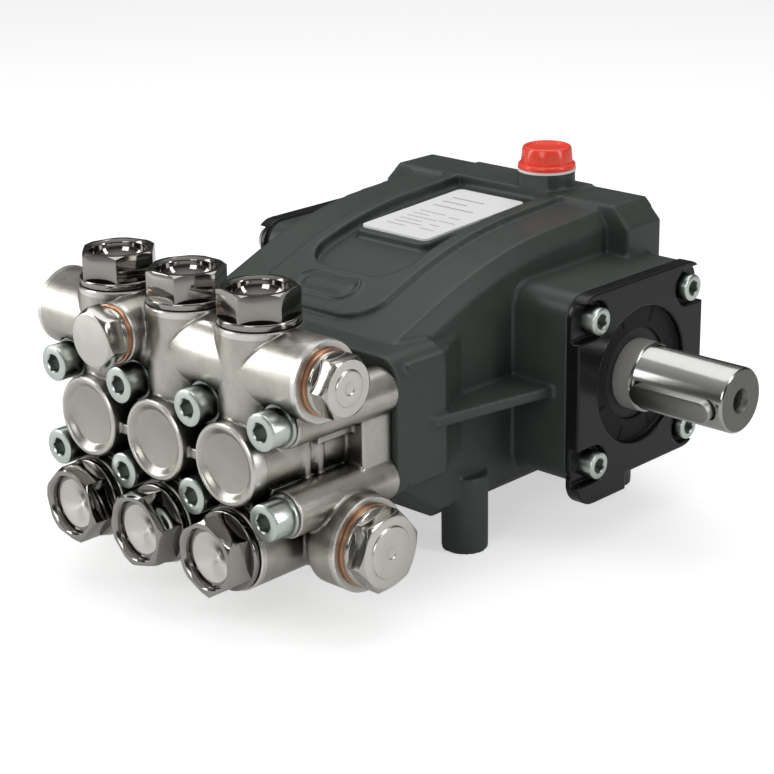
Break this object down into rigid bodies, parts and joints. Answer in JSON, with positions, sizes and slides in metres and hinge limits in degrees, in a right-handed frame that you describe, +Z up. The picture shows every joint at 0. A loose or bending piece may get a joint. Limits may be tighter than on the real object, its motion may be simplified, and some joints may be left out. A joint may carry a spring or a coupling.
{
  "type": "pressure washer pump",
  "caption": "Triplex plunger pump: black cast crankcase with a keyed drive shaft, three crank-driven plungers and a satin nickel valve manifold with screwed valve caps.",
  "frame": {"origin": "centre of the four tapped feet, on their underside", "axes": "+X along the crankshaft to the drive end, +Y away from the valve manifold, +Z up"},
  "size_m": [0.2102, 0.2246, 0.1292],
  "materials": {
    "cast_black": "satin black painted casting",
    "gloss_black": "gloss black painted casting",
    "satin_nickel": "satin blasted nickel",
    "dark_nickel": "polished dark nickel",
    "zinc": "bright zinc plate",
    "ground_steel": "ground steel",
    "copper": "soft copper",
    "brass": "machined brass",
    "rubber": "moulded rubber",
    "ceramic": "ground ceramic",
    "red_plastic": "gloss red moulding",
    "white_plastic": "white fibre washer",
    "label_foil": "white foil plate",
    "sight": "polished bezel"
  },
  "bodies": {
    "pump_body": {"crankcase": "cast_black", "rear_cover": "cast_black", "case_gaskets": "rubber", "rear_cover_screws": "zinc", "drive_side_cover": "gloss_black", "blind_side_cover": "gloss_black", "side_cover_screws": "zinc", "shaft_oil_seal": "rubber", "bearing_outer_rings": "ground_steel", "rod_oil_seals": "rubber", "valve_manifold": "satin_nickel", "packing_guide_rings": "brass", "plunger_packings": "rubber", "valve_seats": "ground_steel", "valve_cages": "ground_steel", "outlet_valve_springs": "ground_steel", "inlet_valve_springs": "ground_steel", "outlet_valve_caps": "dark_nickel", "inlet_valve_caps": "dark_nickel", "valve_cap_seals": "rubber", "port_plugs": "satin_nickel", "plug_washers": "copper", "head_bolts": "zinc", "head_bolt_washers": "zinc", "identification_plate": "label_foil", "sight_glass": "sight", "oil_drain_plug": "zinc", "oil_cap_gasket": "white_plastic"},
    "crank": {"crankshaft": "ground_steel", "drive_key": "ground_steel", "bearing_inner_rings": "ground_steel"},
    "bearing_cage_set": {"bearing_cages": "brass"},
    "rod_1": {"conrod_1": "satin_nickel", "conrod_cap_1": "satin_nickel", "conrod_screws_1": "zinc", "wrist_pin_1": "ground_steel"},
    "rod_2": {"conrod_2": "satin_nickel", "conrod_cap_2": "satin_nickel", "conrod_screws_2": "zinc", "wrist_pin_2": "ground_steel"},
    "rod_3": {"conrod_3": "satin_nickel", "conrod_cap_3": "satin_nickel", "conrod_screws_3": "zinc", "wrist_pin_3": "ground_steel"},
    "plunger_set_1": {"crosshead_1": "satin_nickel", "plunger_1": "ceramic", "plunger_bolt_1": "zinc"},
    "plunger_set_2": {"crosshead_2": "satin_nickel", "plunger_2": "ceramic", "plunger_bolt_2": "zinc"},
    "plunger_set_3": {"crosshead_3": "satin_nickel", "plunger_3": "ceramic", "plunger_bolt_3": "zinc"},
    "outlet_poppet_1": {"outlet_valve_1": "ground_steel"},
    "outlet_poppet_2": {"outlet_valve_2": "ground_steel"},
    "outlet_poppet_3": {"outlet_valve_3": "ground_steel"},
    "inlet_poppet_1": {"inlet_valve_1": "ground_steel"},
    "inlet_poppet_2": {"inlet_valve_2": "ground_steel"},
    "inlet_poppet_3": {"inlet_valve_3": "ground_steel"},
    "filler_cap": {"oil_cap": "red_plastic"}
  },
  "joints": [
    {"name": "crank_spin", "type": "hinge", "parent": "pump_body", "child": "crank", "pos_m": [0, 0.0145, 0.059], "axis": [1, 0, 0], "continuous": true},
    {"name": "cage_spin", "type": "hinge", "parent": "pump_body", "child": "bearing_cage_set", "pos_m": [0, 0.0145, 0.059], "axis": [1, 0, 0], "continuous": true},
    {"name": "rod_swing_1", "type": "hinge", "parent": "crank", "child": "rod_1", "pos_m": [-0.035, 0.01017, 0.0565], "axis": [1, 0, 0], "continuous": true},
    {"name": "rod_swing_2", "type": "hinge", "parent": "crank", "child": "rod_2", "pos_m": [0, 0.0145, 0.064], "axis": [1, 0, 0], "continuous": true},
    {"name": "rod_swing_3", "type": "hinge", "parent": "crank", "child": "rod_3", "pos_m": [0.035, 0.01883, 0.0565], "axis": [1, 0, 0], "continuous": true},
    {"name": "plunger_stroke_1", "type": "slide", "parent": "pump_body", "child": "plunger_set_1", "axis": [0, 1, 0], "range_m": [-0.00067, 0.00933]},
    {"name": "plunger_stroke_2", "type": "slide", "parent": "pump_body", "child": "plunger_set_2", "axis": [0, 1, 0], "range_m": [-0.005, 0.005]},
    {"name": "plunger_stroke_3", "type": "slide", "parent": "pump_body", "child": "plunger_set_3", "axis": [0, 1, 0], "range_m": [-0.00933, 0.00067]},
    {"name": "outlet_valve_lift_1", "type": "slide", "parent": "pump_body", "child": "outlet_poppet_1", "axis": [0, 0, 1], "range_m": [0, 0.002], "stiffness_N_per_m": 150, "springref_m": -0.002, "deforming": ["outlet_valve_springs"]},
    {"name": "outlet_valve_lift_2", "type": "slide", "parent": "pump_body", "child": "outlet_poppet_2", "axis": [0, 0, 1], "range_m": [0, 0.002], "stiffness_N_per_m": 150, "springref_m": -0.002},
    {"name": "outlet_valve_lift_3", "type": "slide", "parent": "pump_body", "child": "outlet_poppet_3", "axis": [0, 0, 1], "range_m": [0, 0.002], "stiffness_N_per_m": 150, "springref_m": -0.002},
    {"name": "inlet_valve_lift_1", "type": "slide", "parent": "pump_body", "child": "inlet_poppet_1", "axis": [0, -1, 0], "range_m": [0, 0.002], "stiffness_N_per_m": 150, "springref_m": -0.002, "deforming": ["inlet_valve_springs"]},
    {"name": "inlet_valve_lift_2", "type": "slide", "parent": "pump_body", "child": "inlet_poppet_2", "axis": [0, -1, 0], "range_m": [0, 0.002], "stiffness_N_per_m": 150, "springref_m": -0.002},
    {"name": "inlet_valve_lift_3", "type": "slide", "parent": "pump_body", "child": "inlet_poppet_3", "axis": [0, -1, 0], "range_m": [0, 0.002], "stiffness_N_per_m": 150, "springref_m": -0.002},
    {"name": "oil_cap_lift", "type": "slide", "parent": "pump_body", "child": "filler_cap", "axis": [0, 0, 1], "range_m": [0, 0.03]}
  ],
  "couplings": [
    {"joint": "cage_spin", "follows": "crank_spin", "ratio": 0.402},
    {"joint": "rod_swing_1", "follows": "crank_spin", "ratio": -1},
    {"joint": "rod_swing_2", "follows": "crank_spin", "ratio": -1},
    {"joint": "rod_swing_3", "follows": "crank_spin", "ratio": -1}
  ]
}
